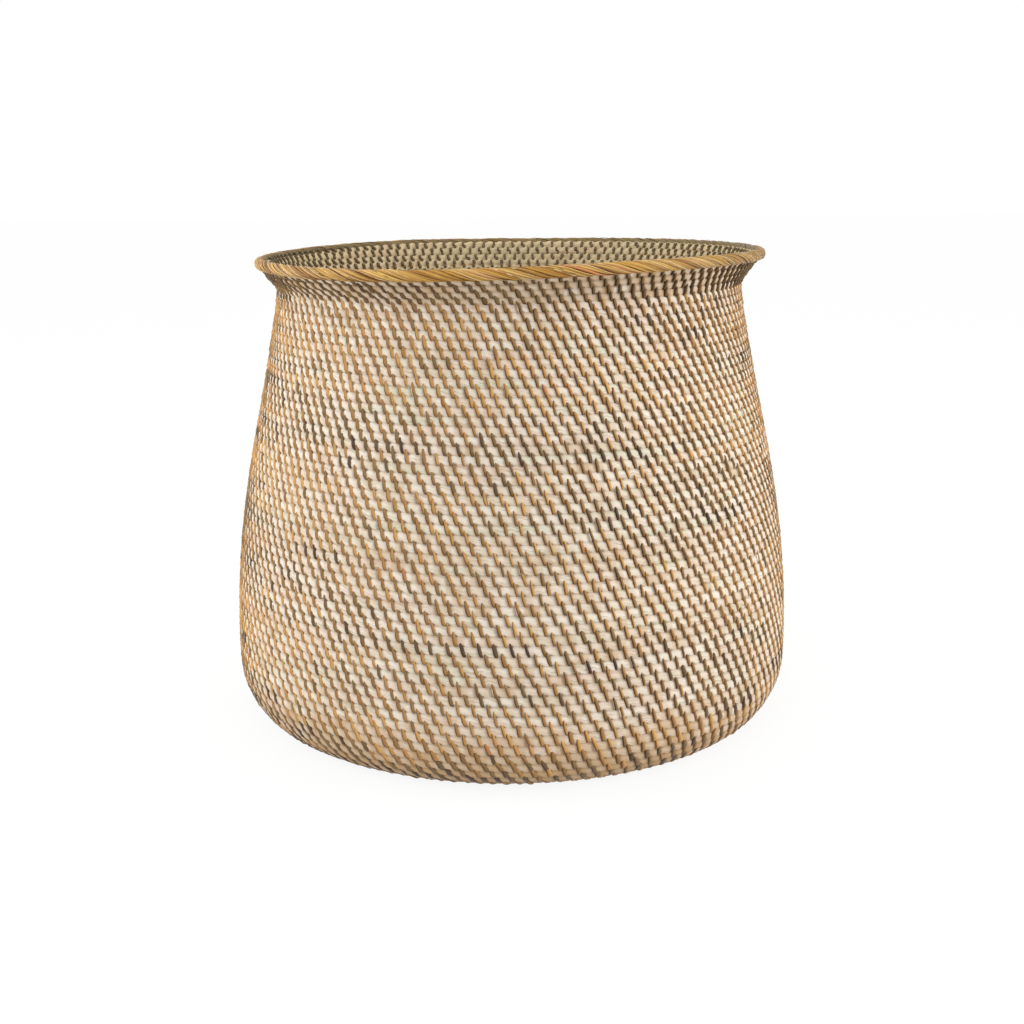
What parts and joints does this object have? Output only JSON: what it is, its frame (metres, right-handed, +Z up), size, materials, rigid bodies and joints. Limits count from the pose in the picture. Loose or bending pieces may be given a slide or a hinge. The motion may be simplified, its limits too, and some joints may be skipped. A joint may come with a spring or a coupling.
{
  "type": "round basket",
  "caption": "Round open basket of coiled rattan with a flat base, a full belly, a drawn-in neck and a flared collar under a cane-wrapped rim.",
  "frame": {"origin": "on the basket's axis, at the floor that its base stands on", "axes": "+Z up along the basket's axis, +X to the right and -Y towards the viewer as in the picture"},
  "size_m": [0.5, 0.5, 0.4091],
  "materials": {
    "wall_rattan": "whitewashed rattan, dry and matt",
    "base_rattan": "whitewashed rattan, tanner and matt",
    "binding_cane": "split cane skin, satin",
    "rim_cane": "split cane skin, golden, satin"
  },
  "bodies": {
    "root": {"start_knot": "binding_cane", "base_rod_1": "base_rattan", "base_rod_2": "base_rattan", "base_rod_3": "base_rattan", "base_rod_4": "base_rattan", "base_rod_5": "base_rattan", "wall_rod_01": "wall_rattan", "wall_rod_02": "wall_rattan", "wall_rod_03": "wall_rattan", "wall_rod_04": "wall_rattan", "wall_rod_05": "wall_rattan", "wall_rod_06": "wall_rattan", "wall_rod_07": "wall_rattan", "wall_rod_08": "wall_rattan", "wall_rod_09": "wall_rattan", "wall_rod_10": "wall_rattan", "wall_rod_11": "wall_rattan", "wall_rod_12": "wall_rattan", "wall_rod_13": "wall_rattan", "wall_rod_14": "wall_rattan", "wall_rod_15": "wall_rattan", "wall_rod_16": "wall_rattan", "wall_rod_17": "wall_rattan", "wall_rod_18": "wall_rattan", "wall_rod_19": "wall_rattan", "wall_rod_20": "wall_rattan", "wall_rod_21": "wall_rattan", "wall_rod_22": "wall_rattan", "wall_rod_23": "wall_rattan", "wall_rod_24": "wall_rattan", "collar_rod_1": "wall_rattan", "collar_rod_2": "wall_rattan", "rim_hoop": "wall_rattan", "rim_sleeve": "rim_cane"}
  },
  "joints": []
}
